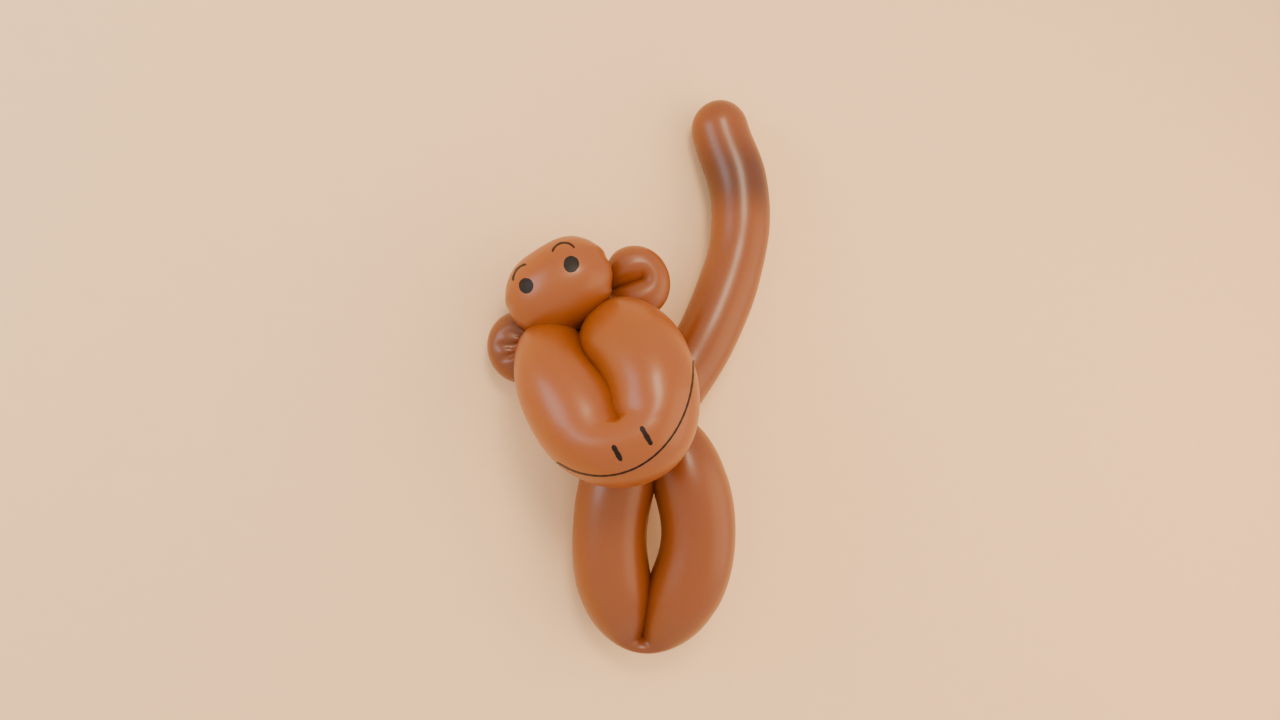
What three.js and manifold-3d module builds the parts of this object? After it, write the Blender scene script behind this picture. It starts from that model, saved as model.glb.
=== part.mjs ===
// A monkey twisted from one long modelling balloon, lying on its back.
//
// The balloon is one sealed skin, so the model is one solid: seven blown bubbles that grow into
// each other at their twists, and the tied nozzle. It is shaped in the figure's own frame (+X to
// the right of someone facing it, +Y from its feet to the tip of its tail, +Z out of its face) and
// is then laid down. Lengths are in millimetres.
import * as THREE from "three";
import { mergeVertices } from "three/addons/utils/BufferGeometryUtils.js";
import Module from "manifold-3d";

const wasm = await Module();
wasm.setup();

const point = (x, y, z) => new THREE.Vector3(x, y, z);
const route = (...points) => new THREE.CatmullRomCurve3(points, false, "centripetal");

// ---- Driving dimensions -------------------------------------------------------------------

const RUBBER = { color: 0xa8551f, roughness: 0.32, metalness: 0 };

// Fineness of the solids
const SIDES = 26; // round a long bubble
const SMALL_SIDES = 20; // round an ear, the neck or the tail
const CONTACT_SIDES = 4; // across the patch where the two limbs of a folded bubble press together
const FOLD_RINGS = 6; // round half a fold
const RING_STEP = 10; // between the rings along a plain bubble
const SNAP = 1e-3; // vertices closer than this are one
const LEAST_MEETING_ANGLE = 0.02; // radians: limbs that are closer to just touching than this stand apart

// Where bubbles are wound into each other
const LEFT_EAR_TWIST = point(-76, 18, 6);
const RIGHT_EAR_TWIST = point(-22, 49, 2);
const BODY_TWIST = point(11, -36, -14);
const TWIST_RADIUS = 4.5; // the rope of wound skin between two bubbles

// Plain bubbles: the path of their axis, their radius, and the length of each domed end. The head's
// domes end a little outside the ears' twists, so that the ears are wound into its lower edge.
const HEAD = {
  path: route(point(-84, 32, 4), point(-62, 46, 20), point(-45, 56, 20), point(-30, 60, 7)),
  radius: 31,
  domes: [33, 24],
  sides: SIDES,
};
const NECK = {
  path: route(RIGHT_EAR_TWIST, point(-10, 20, -8), point(2, -14, -18), BODY_TWIST),
  radius: 23,
  domes: [26, 26],
  sides: SMALL_SIDES,
};
const TAIL = {
  path: route(
    BODY_TWIST,
    point(32, -14, -34),
    point(57, 30, -44),
    point(75, 80, -54),
    point(79.5, 112, -58),
    point(77, 143, -62),
    point(66, 176, -65),
    point(58, 206, -66),
  ),
  radius: 23.5,
  domes: [30, 23.5],
  sides: SMALL_SIDES,
};

// Folded bubbles. `spine` runs between the two limbs, which lie side by side along `across`. The
// outline is an oval: `wide` is its half-width, `widest` the distance down the spine where it has
// that width, `before` and `after` its half-lengths. The groove between the limbs ends at `groove`.
// `apart` is the distance of a limb's axis from the spine, in limb radii: under 1, the limbs press
// flat against each other. `sway` moves the groove sideways, and leaves the outline where it is.
const OVAL_POWER = 2.15; // the outline is a little fuller than an ellipse, whose power is 2

const MUZZLE = {
  spine: route(
    point(-42, 19, -2),
    point(-36, 11, 24),
    point(-23, -12, 50),
    point(-6, -54, 70),
    point(6, -94, 92),
  ),
  across: point(0.97, 0.2, 0.13),
  wide: 58.5,
  widest: 67,
  before: 77,
  after: 74,
  groove: 101,
  rows: 15,
  sides: SIDES,
  dome: 32, // the length of each limb's domed top
  apart(v) {
    const pressed = 0.92 - 0.14 * ease((v - 60) / 40);
    return (1 + pressed) / dome(v / this.dome) - 1;
  },
  sway: (v) => (3.5 * Math.sin((Math.PI * 2 * (25 - v)) / 76) * ease(v / 25) - 2.6) * ease((101 - v) / 12),
};

const LEGS = {
  spine: route(BODY_TWIST, point(10, -80, -8), point(10, -130, -4), point(5, -175, -8), point(-2, -220, -20)),
  across: point(1, 0, 0),
  wide: 59,
  widest: 92,
  before: 93,
  after: 86,
  groove: 164,
  rows: 20,
  sides: SIDES,
  // The limbs bow apart half-way down, which leaves a lens-shaped gap.
  apart: (v) => 0.86 + 0.33 * Math.sin(Math.PI * ease((v - 14) / 154)) ** 2,
  sway: () => 0,
};

const EAR = {
  wide: 28,
  widest: 19,
  before: 19,
  after: 28,
  groove: 24,
  rows: 7,
  sides: SMALL_SIDES,
  apart: () => 0.8,
  sway: () => 0,
};
const LEFT_EAR = {
  ...EAR,
  spine: route(point(-64, 14, 2), point(-86, 9, 1), point(-112, 3, -4)),
  across: point(0.22, -0.97, 0),
};
const RIGHT_EAR = {
  ...EAR,
  spine: route(point(-23, 49, 2), point(-3, 56, 1), point(26, 66, -4)),
  across: point(-0.33, 0.94, 0),
};

// The nozzle, from inside the left ear's twist out: wound neck, tied knot and rolled lip
const KNOT_OUTLINE = [
  [0, -4],
  [2.6, -4],
  [2.4, 4],
  [4.6, 6.5],
  [5, 9],
  [4.2, 11.5],
  [2.2, 13],
  [2.6, 15],
  [5.6, 18.4],
  [6.4, 19.2],
  [6.4, 20.2],
  [5.6, 20.8],
  [0, 19.6],
];
const KNOT_SIDES = 14;
const KNOT_DIRECTION = point(-0.55, 0.45, -0.7).normalize();

const FLAT_DEPTH = 1.2; // how far the skin is pressed flat where it lies on the table

// ---- Profiles -----------------------------------------------------------------------------

// The rounded end of a bubble: 0 at its twist, 1 a dome's length away from it.
function dome(t) {
  return Math.sqrt(1 - (1 - Math.min(Math.max(t, 0), 1)) ** 2);
}

// A smooth step from 0 to 1.
function ease(t) {
  const c = Math.min(Math.max(t, 0), 1);
  return c * c * (3 - 2 * c);
}

// ---- Solids -------------------------------------------------------------------------------

// A geometry with its shared vertices merged and the triangles that this folds up left out.
function closedGeometry(points, triangles) {
  const merged = mergeVertices(
    new THREE.BufferGeometry().setFromPoints(points).setIndex(triangles),
    SNAP,
  );
  const index = merged.index.array;
  const kept = [];
  for (let i = 0; i < index.length; i += 3) {
    const [a, b, c] = index.slice(i, i + 3);
    if (a !== b && b !== c && c !== a) kept.push(a, b, c);
  }
  return merged.setIndex(kept);
}

function solidOf(geometry) {
  return new wasm.Manifold(
    new wasm.Mesh({
      numProp: 3,
      vertProperties: geometry.attributes.position.array,
      triVerts: new Uint32Array(geometry.index.array),
    }),
  );
}

function geometryOf(solid) {
  const made = solid.getMesh();
  return new THREE.BufferGeometry()
    .setAttribute("position", new THREE.BufferAttribute(made.vertProperties, 3))
    .setIndex(new THREE.BufferAttribute(made.triVerts, 1));
}

// A three.js shape as a solid.
function solidOfShape(shape) {
  const { position } = shape.attributes;
  const points = Array.from({ length: position.count }, (_, i) =>
    new THREE.Vector3().fromBufferAttribute(position, i),
  );
  const triangles = shape.index ? [...shape.index.array] : points.map((_, i) => i);
  return solidOf(closedGeometry(points, triangles));
}

// The two triangles between each pair of neighbouring points of each pair of neighbouring rings,
// and the fan that closes the first ring on the pole. Vertex 0 is the pole.
function skinOf(ringCount, sides) {
  const at = (i, j) => 1 + i * sides + (j % sides);
  const faces = [];
  for (let j = 0; j < sides; j++) faces.push([0, at(0, j + 1), at(0, j)]);
  for (let i = 0; i + 1 < ringCount; i++)
    for (let j = 0; j < sides; j++) {
      faces.push([at(i, j), at(i, j + 1), at(i + 1, j + 1)]);
      faces.push([at(i, j), at(i + 1, j + 1), at(i + 1, j)]);
    }
  return faces;
}

// Distances along a plain bubble at which it has a ring: crowded in its domes, even between them.
function stations(length, [first, second]) {
  const quarter = (domeLength) => Math.max(4, Math.round((domeLength * Math.PI) / 2 / RING_STEP));
  const inDome = (domeLength, i, n) => domeLength * (1 - Math.cos((i / n) * (Math.PI / 2)));
  const out = [];
  for (let i = 1; i <= quarter(first); i++) out.push(inDome(first, i, quarter(first)));
  const middle = length - first - second;
  const steps = Math.round(middle / RING_STEP);
  for (let i = 1; i <= steps; i++) out.push(first + (middle * i) / steps);
  for (let i = quarter(second) - 1; i >= 1; i--)
    out.push(length - inDome(second, i, quarter(second)));
  return out;
}

function plainBubble({ path, radius, domes, sides }) {
  const length = path.getLength();
  const framesAlong = 200;
  const frames = path.computeFrenetFrames(framesAlong, false);
  const points = [path.getPointAt(0)];
  const at = stations(length, domes);
  for (const s of at) {
    const k = Math.round((s / length) * framesAlong);
    const r = radius * dome(s / domes[0]) * dome((length - s) / domes[1]);
    for (let j = 0; j < sides; j++) {
      const angle = (2 * Math.PI * j) / sides;
      const onRing = path.getPointAt(s / length);
      onRing.addScaledVector(frames.normals[k], r * Math.cos(angle));
      points.push(onRing.addScaledVector(frames.binormals[k], r * Math.sin(angle)));
    }
  }
  points.push(path.getPointAt(1));
  const faces = skinOf(at.length, sides);
  const lastRing = 1 + (at.length - 1) * sides;
  for (let j = 0; j < sides; j++)
    faces.push([points.length - 1, lastRing + j, lastRing + ((j + 1) % sides)]);
  return solidOf(closedGeometry(points, faces.flat()));
}

// One ring of a folded bubble's left limb, as [across, out] pairs. What would cross the plane
// between the limbs is pressed flat on it.
function limbRing(reach, apart, sides) {
  const radius = reach / (1 + apart);
  const closest = Math.cos(LEAST_MEETING_ANGLE);
  const meeting = Math.acos(Math.min(apart, closest));
  const pressed = apart < closest;
  const round = (angle) => [radius * (Math.cos(angle) - apart), radius * Math.sin(angle)];
  const ring = [];
  for (let k = 0; k <= sides; k++) {
    const [across, out] = round(meeting + ((2 * Math.PI - 2 * meeting) * k) / sides);
    const meets = pressed && (k === 0 || k === sides);
    ring.push([meets ? 0 : across, out]);
  }
  for (let k = 1; k < CONTACT_SIDES; k++) {
    const part = (2 * k) / CONTACT_SIDES - 1;
    ring.push(pressed ? [0, part * radius * Math.sin(meeting)] : round(part * meeting));
  }
  return ring;
}

// A long bubble folded in two. The left limb is built from its twist down to the middle of the
// fold, and mirrored.
function foldedBubble(shape) {
  const { spine, across, wide, widest, before, after, groove, rows, sides } = shape;
  const reach = (v) => {
    const t = Math.min(1, Math.abs(v - widest) / (v < widest ? before : after));
    return wide * (1 - t ** OVAL_POWER) ** (1 / OVAL_POWER);
  };
  const rings = [];
  for (let i = 1; i <= rows; i++) {
    const v = groove * (1 - Math.cos((i / rows) * (Math.PI / 2))) ** 0.85;
    const ring = limbRing(reach(v), shape.apart(v), sides);
    rings.push(ring.map(([x, z]) => [x, v, z]));
  }
  // Round the fold, each ring turns about the end of the groove, and follows the outline.
  const grooveRing = limbRing(reach(groove), shape.apart(groove), sides);
  const below = (groove - widest) / after;
  const start = Math.asin(below ** (OVAL_POWER / 2));
  for (let k = 1; k <= FOLD_RINGS; k++) {
    const turn = start + ((Math.PI / 2 - start) * k) / FOLD_RINGS;
    const narrower = k < FOLD_RINGS ? (wide * Math.cos(turn) ** (2 / OVAL_POWER)) / reach(groove) : 0;
    const lower = (after * (Math.sin(turn) ** (2 / OVAL_POWER) - below)) / reach(groove);
    rings.push(grooveRing.map(([x, z]) => [x * narrower, groove - x * lower, z]));
  }
  const pole = [Math.min(-reach(0), -10 * SNAP), 0, 0];
  const limb = [pole, ...rings.flat()];
  // Faces that lie wholly between the limbs are inside the bubble's skin, and are left out.
  const skin = skinOf(rings.length, rings[0].length).filter((f) => f.some((i) => limb[i][0] < 0));

  const length = spine.getLength();
  const place = (x, v, z) => {
    const tangent = spine.getTangentAt(Math.min(v / length, 1));
    const out = tangent.clone().cross(across).normalize();
    const side = out.clone().cross(tangent).normalize();
    const p = spine.getPointAt(Math.min(v / length, 1));
    const swayed = x + shape.sway(v) * (1 - Math.min(1, Math.abs(x) / wide));
    return p.addScaledVector(side, swayed).addScaledVector(out, z);
  };
  const points = [1, -1].flatMap((mirror) => limb.map(([x, v, z]) => place(x * mirror, v, z)));
  const triangles = skin.flatMap(([a, b, c]) => {
    const n = limb.length;
    return [a, b, c, n + a, n + c, n + b];
  });
  return solidOf(closedGeometry(points, triangles));
}

function twist(centre) {
  const { x, y, z } = centre;
  return solidOfShape(new THREE.IcosahedronGeometry(TWIST_RADIUS, 2).translate(x, y, z));
}

function knot() {
  const outline = KNOT_OUTLINE.map(([r, y]) => new THREE.Vector2(r, y));
  const { x, y, z } = LEFT_EAR_TWIST;
  const aim = new THREE.Quaternion().setFromUnitVectors(point(0, 1, 0), KNOT_DIRECTION);
  const shape = new THREE.LatheGeometry(outline, KNOT_SIDES);
  return solidOfShape(shape.applyQuaternion(aim).translate(x, y, z));
}

// ---- Laying it down -----------------------------------------------------------------------

// A solid's lowest vertex, where `up` is up.
function lowest(solid, up) {
  const { vertProperties: p } = solid.getMesh();
  let best = point(p[0], p[1], p[2]);
  for (let i = 3; i < p.length; i += 3) {
    const q = point(p[i], p[i + 1], p[i + 2]);
    if (q.dot(up) < best.dot(up)) best = q;
  }
  return best;
}

// What is up when the figure lies on three of its bubbles: square to the plane that touches all
// three from below.
function restingUp(supports) {
  const rounds = 30;
  let up = point(0, 0, 1);
  for (let i = 0; i < rounds; i++) {
    const [a, b, c] = supports.map((s) => lowest(s, up));
    const square = b.sub(a).cross(c.sub(a)).normalize();
    up = square.z < 0 ? square.negate() : square;
  }
  return up;
}

// Turns a solid so that `up` is +Z, presses it flat where it touches the table, and moves it so
// that the origin is on the table, under the middle of its bounding box.
function layDown(solid, up) {
  const roll = new THREE.Matrix4().makeRotationY(-Math.atan2(up.x, up.z));
  const pitch = new THREE.Matrix4().makeRotationX(Math.atan2(up.y, Math.hypot(up.x, up.z)));
  const lying = solidOf(geometryOf(solid).applyMatrix4(pitch.multiply(roll)));
  const table = lying.boundingBox().min[2] + FLAT_DEPTH;
  const [size, depth] = [1000, 100];
  const slab = new THREE.BoxGeometry(size, size, depth).translate(0, 0, table - depth / 2);
  const pressed = lying.subtract(solidOfShape(slab));
  const { min, max } = pressed.boundingBox();
  return geometryOf(pressed).translate(-(min[0] + max[0]) / 2, -(min[1] + max[1]) / 2, -table);
}

// ---- The figure ---------------------------------------------------------------------------

const legs = foldedBubble(LEGS);
const leftEar = foldedBubble(LEFT_EAR);
const tail = plainBubble(TAIL);
const others = [
  plainBubble(HEAD),
  foldedBubble(MUZZLE),
  foldedBubble(RIGHT_EAR),
  plainBubble(NECK),
  ...[LEFT_EAR_TWIST, RIGHT_EAR_TWIST, BODY_TWIST].map(twist),
  knot(),
];
const joined = [leftEar, tail, ...others].reduce((whole, piece) => whole.add(piece), legs);
// Specks of space that the bubbles shut in between them are filled: only the outer skin is kept.
const [figure] = joined.decompose().sort((a, b) => b.volume() - a.volume());

const geometry = layDown(figure, restingUp([legs, leftEar, tail]));
geometry.computeVertexNormals();
const balloon = new THREE.Mesh(geometry, new THREE.MeshStandardMaterial(RUBBER));
balloon.name = "twisted_balloon";

const group = new THREE.Group();
group.add(balloon);

export default group;
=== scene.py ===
"""A monkey twisted from one long modelling balloon, lying face up on a pale table.

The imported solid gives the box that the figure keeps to. Here its skin is modelled finely: every
bubble is blown from a sphere, the bubbles are joined where they are wound into each other, and the
face is drawn on with marker ink.

Bubbles are shaped in the figure's own frame, in millimetres (+X to the right of someone facing it,
+Y from its feet to the tip of its tail, +Z out of its face), and are then laid on the table.
"""

import logging
import math
from collections.abc import Callable, Sequence
from dataclasses import dataclass, replace
from enum import Enum

import bpy
import numpy as np
from mathutils import Matrix, Vector
from mathutils.bvhtree import BVHTree
from mathutils.kdtree import KDTree


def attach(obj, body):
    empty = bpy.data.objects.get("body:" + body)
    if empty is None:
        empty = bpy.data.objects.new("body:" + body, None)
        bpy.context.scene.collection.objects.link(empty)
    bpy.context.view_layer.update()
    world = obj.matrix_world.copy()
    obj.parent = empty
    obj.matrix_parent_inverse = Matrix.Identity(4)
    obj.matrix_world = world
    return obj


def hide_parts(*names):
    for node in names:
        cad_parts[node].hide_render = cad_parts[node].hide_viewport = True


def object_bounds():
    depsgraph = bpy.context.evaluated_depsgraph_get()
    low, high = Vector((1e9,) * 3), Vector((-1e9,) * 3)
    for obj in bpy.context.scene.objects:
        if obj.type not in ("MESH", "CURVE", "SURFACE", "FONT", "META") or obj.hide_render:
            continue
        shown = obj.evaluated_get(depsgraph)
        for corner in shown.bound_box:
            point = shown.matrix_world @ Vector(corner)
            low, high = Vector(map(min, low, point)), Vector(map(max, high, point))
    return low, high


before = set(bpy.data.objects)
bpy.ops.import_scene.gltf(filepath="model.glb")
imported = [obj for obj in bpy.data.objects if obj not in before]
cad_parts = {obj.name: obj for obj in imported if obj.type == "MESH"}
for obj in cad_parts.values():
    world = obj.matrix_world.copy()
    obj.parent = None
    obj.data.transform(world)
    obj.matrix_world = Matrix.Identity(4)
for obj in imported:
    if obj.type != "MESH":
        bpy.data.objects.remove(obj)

CAD_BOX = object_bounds()
LOG = logging.getLogger("balloon_monkey")

MM = 0.001
BODY = "root"
NODE = "twisted_balloon"

PATH_SAMPLES = 600  # along a plain bubble, to space its rings by
LIMB_SAMPLES, FOLD_SAMPLES = 900, 300  # along a folded bubble's limb and round half its fold
EASING_PASSES = 70  # how often a limb is smoothed where it runs into the fold
EASING_RINGS = 24  # how many rings before the fold that starts
EASING_BLEND = 8.0  # over how many rings it grows to its full share
WELD_M = 2e-6  # vertices of one bubble that are closer than this are one
SLIVER_M = 1e-5  # edges shorter than this are taken out of the joined skin

Array = np.ndarray


# ---- Small helpers --------------------------------------------------------------------------


def dome(t: Array | float) -> Array:
    """Gives the rounded end of a bubble: 0 at its twist, 1 a dome's length away."""
    return np.sqrt(1.0 - (1.0 - np.clip(t, 0.0, 1.0)) ** 2)


def ease(t: Array | float) -> Array:
    """Gives a smooth step from 0 to 1."""
    c = np.clip(t, 0.0, 1.0)
    return c * c * (3.0 - 2.0 * c)


def deselect_all() -> None:
    """Leaves object mode with nothing selected."""
    if bpy.context.object and bpy.context.object.mode != "OBJECT":
        bpy.ops.object.mode_set(mode="OBJECT")
    bpy.ops.object.select_all(action="DESELECT")


def select_only(obj: bpy.types.Object) -> None:
    """Makes one object the active one and the only one selected.

    Args:
        obj: The object.
    """
    deselect_all()
    obj.select_set(True)
    bpy.context.view_layer.objects.active = obj


def read_vertices(obj: bpy.types.Object) -> Array:
    """Reads a mesh's vertices.

    Args:
        obj: A mesh object.

    Returns:
        One row of x, y, z for each vertex.
    """
    flat = np.empty(len(obj.data.vertices) * 3, dtype=np.float64)
    obj.data.vertices.foreach_get("co", flat)
    return flat.reshape(-1, 3)


def write_vertices(obj: bpy.types.Object, points: Array) -> None:
    """Moves a mesh's vertices.

    Args:
        obj: A mesh object.
        points: One row of x, y, z for each vertex.
    """
    obj.data.vertices.foreach_set("co", np.ascontiguousarray(points, dtype=np.float32).ravel())
    obj.data.update()


def apply_modifier(obj: bpy.types.Object, kind: str, **settings: object) -> None:
    """Adds a modifier and applies it.

    Args:
        obj: The object that gets it.
        kind: The modifier's type, in capitals.
        settings: Its settings.
    """
    select_only(obj)
    modifier = obj.modifiers.new(kind.title(), kind)
    for name, value in settings.items():
        setattr(modifier, name, value)
    bpy.ops.object.modifier_apply(modifier=modifier.name)


# ---- Where the figure lies ------------------------------------------------------------------


@dataclass(frozen=True)
class Lie:
    """How the figure lies on the table: turned so that `up` is +Z, then moved."""

    up: tuple[float, float, float]
    origin_mm: tuple[float, float, float] = (0.0, 0.0, 0.0)

    @property
    def turn(self) -> Matrix:
        """The turn from the figure's frame to the table's, about its own Y and then about X."""
        x, y, z = self.up
        pitch = Matrix.Rotation(math.atan2(y, math.hypot(x, z)), 3, "X")
        return pitch @ Matrix.Rotation(-math.atan2(x, z), 3, "Y")

    def place(self, points_mm: Array) -> Array:
        """Lays points down.

        Args:
            points_mm: Points in the figure's frame, in millimetres.

        Returns:
            The points on the table, in metres.
        """
        return (points_mm @ np.array(self.turn).T + np.array(self.origin_mm)) * MM

    def place_one(self, point_mm: Sequence[float]) -> Vector:
        """Lays one point down, as a vector in metres."""
        return Vector(self.place(np.array([point_mm], dtype=float))[0])


class Route:
    """A smooth curve through a few points, measured along its length."""

    def __init__(self, *points: Sequence[float], samples: int = 160) -> None:
        """Works out the curve.

        Args:
            points: The points that it passes through, in millimetres.
            samples: How many samples there are between neighbouring points.
        """
        p = np.array(points, dtype=float)
        p = np.vstack([2 * p[0] - p[1], p, 2 * p[-1] - p[-2]])
        line = [self._stretch(*p[i : i + 4], samples) for i in range(len(p) - 3)]
        self.points = np.vstack([*line, p[-2:-1]])
        steps = np.linalg.norm(np.diff(self.points, axis=0), axis=1)
        self.at = np.concatenate([[0.0], np.cumsum(steps)])
        self.length = float(self.at[-1])

    @staticmethod
    def _stretch(a: Array, b: Array, c: Array, d: Array, samples: int) -> Array:
        """Gives the centripetal curve from b to c, without c itself."""
        dt = [math.sqrt(float(np.linalg.norm(q - p))) for p, q in ((a, b), (b, c), (c, d))]
        leave = ((b - a) / dt[0] - (c - a) / (dt[0] + dt[1]) + (c - b) / dt[1]) * dt[1]
        arrive = ((c - b) / dt[1] - (d - b) / (dt[1] + dt[2]) + (d - c) / dt[2]) * dt[1]
        t = np.linspace(0.0, 1.0, samples, endpoint=False)[:, None]
        square, cube = t * t, t * t * t
        return (
            (2 * cube - 3 * square + 1) * b
            + (cube - 2 * square + t) * leave
            + (3 * square - 2 * cube) * c
            + (cube - square) * arrive
        )

    def position(self, s: Array) -> Array:
        """Gives the points at distances s, in millimetres."""
        return np.stack([np.interp(s, self.at, self.points[:, k]) for k in range(3)], axis=1)

    def direction(self, s: Array) -> Array:
        """Gives the unit directions at distances s."""
        reach = 1.5
        s = np.clip(s, 0.0, self.length)
        ahead = self.position(np.minimum(s + reach, self.length))
        along = ahead - self.position(np.maximum(s - reach, 0.0))
        return along / np.linalg.norm(along, axis=1, keepdims=True)


def even_stations(profile: Array, count: int) -> Array:
    """Spaces stations evenly along a profile.

    Args:
        profile: Points along it, one row each, whose first column is what the stations are given in.
        count: How many stations, the ends included.

    Returns:
        The first column's values at the stations.
    """
    steps = np.linalg.norm(np.diff(profile[:, 1:], axis=0), axis=1)
    along = np.concatenate([[0.0], np.cumsum(steps)])
    return np.interp(np.linspace(0.0, along[-1], count), along, profile[:, 0])


# ---- Bubbles --------------------------------------------------------------------------------


@dataclass
class Bubble:
    """A blown bubble, shaped from a sphere whose poles are its twists."""

    name: str
    segments: int
    rings: int
    pleats: int = 9
    pleat_depth: float = 0.05
    pleat_length: float = 9.0
    tautness: float = 1.0

    def outline(self) -> Array:
        """Gives points all over the bubble, in the figure's frame."""
        row, column = np.divmod(np.arange((self.rings + 1) * self.segments), self.segments)
        return self.skin(row, column)[0]

    def blow(self) -> bpy.types.Object:
        """Adds a sphere and moves each of its vertices to its place on the bubble.

        Returns:
            The bubble, closed, in metres on the table, with its stretch in a mesh attribute.
        """
        deselect_all()
        bpy.ops.mesh.primitive_uv_sphere_add(segments=self.segments, ring_count=self.rings, radius=1.0)
        obj = bpy.context.object
        obj.name = obj.data.name = self.name
        ball = read_vertices(obj)
        row = np.rint(np.arccos(np.clip(ball[:, 2], -1, 1)) / math.pi * self.rings).astype(int)
        step = 2 * math.pi / self.segments
        column = np.rint(np.arctan2(ball[:, 1], ball[:, 0]) / step).astype(int) % self.segments
        points, stretch, inner = self.skin(row, column)
        write_vertices(obj, LIE.place(points))
        layer = obj.data.attributes.new("stretch", "FLOAT", "POINT")
        layer.data.foreach_set("value", stretch.astype(np.float32))
        self._close(obj, inner)
        return obj

    def skin(self, row: Array, column: Array) -> tuple[Array, Array, Array]:
        """Gives each vertex's place, its stretch, and whether it is pressed between limbs."""
        raise NotImplementedError

    def _close(self, obj: bpy.types.Object, inner: Array) -> None:
        """Takes out the faces between pressed limbs, and joins the skins along the groove."""
        select_only(obj)
        mesh = obj.data
        between = [bool(inner[list(polygon.vertices)].all()) for polygon in mesh.polygons]
        mesh.vertices.foreach_set("select", np.zeros(len(mesh.vertices), dtype=bool))
        mesh.edges.foreach_set("select", np.zeros(len(mesh.edges), dtype=bool))
        mesh.polygons.foreach_set("select", between)
        bpy.ops.object.mode_set(mode="EDIT")
        bpy.ops.mesh.select_mode(type="FACE")
        bpy.ops.mesh.delete(type="FACE")
        bpy.ops.mesh.select_mode(type="VERT")
        bpy.ops.mesh.select_all(action="SELECT")
        bpy.ops.mesh.remove_doubles(threshold=WELD_M)
        bpy.ops.mesh.select_all(action="SELECT")
        bpy.ops.mesh.normals_make_consistent(inside=False)
        bpy.ops.object.mode_set(mode="OBJECT")

    def pleat(self, angle: Array, distance: Array) -> Array:
        """Gives the puckering round a twist, as a factor on the radius.

        Args:
            angle: The angle round the bubble.
            distance: The distance from the twist, in millimetres.

        Returns:
            The factor, 1 where the skin is smooth.
        """
        ripple = np.cos(self.pleats * angle) + 0.5 * np.cos((2 * self.pleats - 3) * angle + 1.0)
        return 1.0 + self.pleat_depth * ripple * np.exp(-distance / self.pleat_length)


@dataclass
class PlainBubble(Bubble):
    """A bubble along a path. `swell` is how much its radius wavers, as a share of it."""

    path: Route = None
    radius: float = 27.0
    domes: tuple[float, float] = (27.0, 27.0)
    smooth_end: bool = False
    swell: float = 0.0

    def skin(self, row: Array, column: Array) -> tuple[Array, Array, Array]:
        """Gives each vertex's place, its stretch, and whether it is pressed between limbs."""
        fine = np.linspace(0.0, self.path.length, PATH_SAMPLES)
        profile = self._radius(fine)
        s = even_stations(np.stack([fine, fine, profile], axis=1), self.rings + 1)
        centre, along = self.path.position(s), self.path.direction(s)
        normal = self._carried_normals(along)
        other = -np.cross(along, normal)
        r = self._radius(s)
        r[0] = r[-1] = 0.0
        angle = 2 * math.pi * column / self.segments
        pleats = self.pleat(angle, s[row])
        if not self.smooth_end:
            pleats = pleats * self.pleat(angle, self.path.length - s[row])
        ring = (r[row] * pleats)[:, None]
        out = np.cos(angle)[:, None] * normal[row] + np.sin(angle)[:, None] * other[row]
        stretch = self.tautness * (r / self.radius)[row]
        return centre[row] + ring * out, stretch, np.zeros(len(row), dtype=bool)

    def _radius(self, s: Array) -> Array:
        """Gives the radius at distances s along the path."""
        ends = dome(s / self.domes[0]) * dome((self.path.length - s) / self.domes[1])
        slow_wave, quick_wave, most = np.sin(s / 17.0 + 2.2), 0.6 * np.sin(s / 8.3), 1.6
        return self.radius * ends * (1.0 + self.swell * (slow_wave + quick_wave - most))

    @staticmethod
    def _carried_normals(along: Array) -> Array:
        """Carries a normal along the path without letting it spin."""
        start = np.cross(along[0], [0.0, 0.0, 1.0])
        normals = [start / np.linalg.norm(start)]
        for t in along[1:]:
            n = normals[-1] - t * float(normals[-1] @ t)
            normals.append(n / np.linalg.norm(n))
        return np.array(normals)


@dataclass(frozen=True)
class Crease:
    """A crease pressed into the skin of a folded bubble, running out from where it is pinched.

    `from_mm` is where it starts, across and down the spine. `bearing_deg` is its direction, from 0
    across to the left to 90 down the spine. The other sizes are in millimetres.
    """

    from_mm: tuple[float, float]
    bearing_deg: float
    length: float
    depth: float
    width: float = 1.6


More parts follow.
